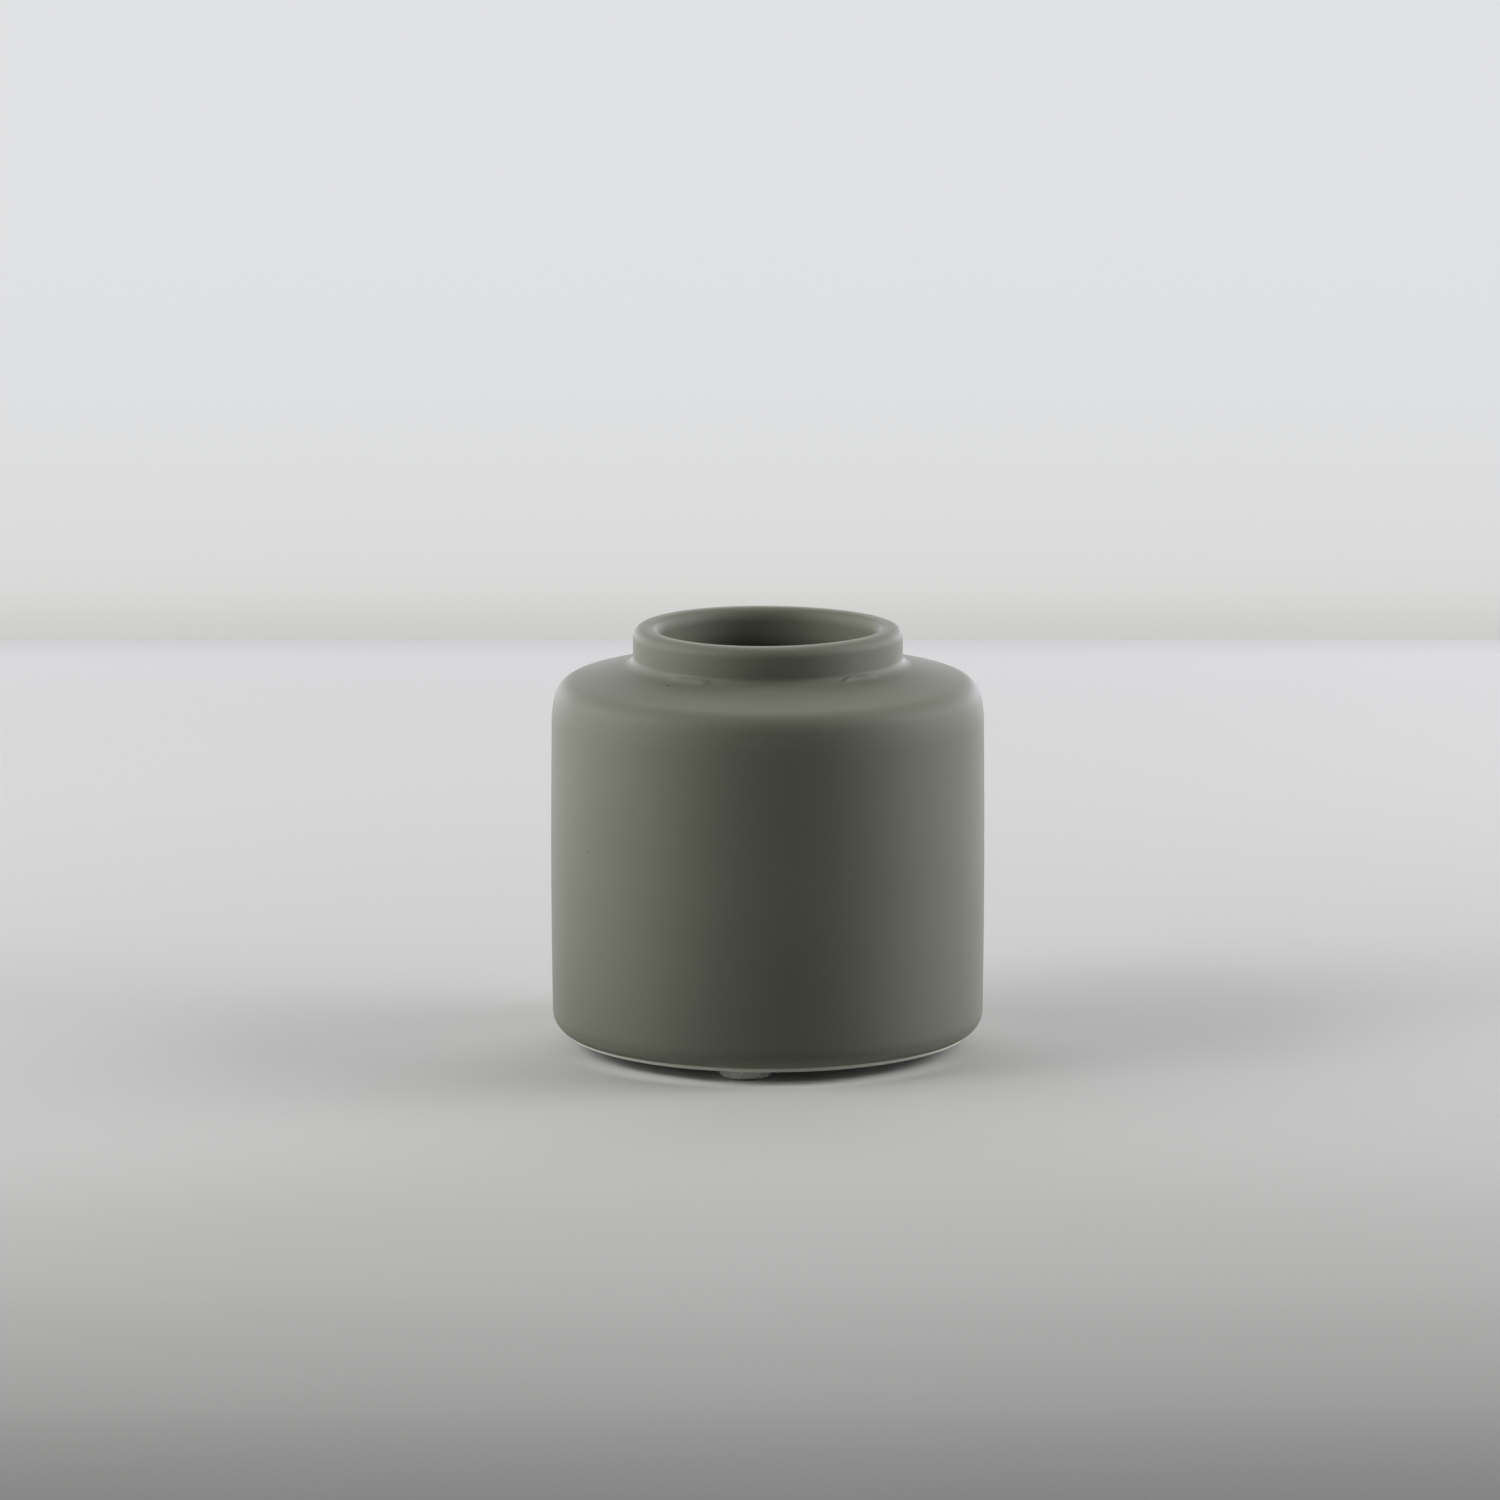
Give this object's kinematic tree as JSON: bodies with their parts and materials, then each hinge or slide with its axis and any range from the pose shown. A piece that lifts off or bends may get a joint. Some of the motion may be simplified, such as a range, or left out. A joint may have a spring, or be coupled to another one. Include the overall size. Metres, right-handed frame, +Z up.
{
  "type": "bud vase",
  "caption": "Small squat cylindrical bud vase with a rounded shoulder, short wide collar and rolled lip, in matte sage-olive glaze, standing on clear bumper pads.",
  "frame": {"origin": "on the table, under the middle of the vase", "axes": "+Z up along the axis the vase is turned about; -Y is the front that the picture shows, +X to its right"},
  "size_m": [0.0804, 0.0804, 0.0785],
  "materials": {
    "glaze": "satin-matte sage-olive glaze, bare pale clay under the foot",
    "clear_pad": "clear polyurethane, smooth"
  },
  "bodies": {
    "root": {"vase_body": "glaze", "bumper_pad_1": "clear_pad", "bumper_pad_2": "clear_pad", "bumper_pad_3": "clear_pad"}
  },
  "joints": []
}
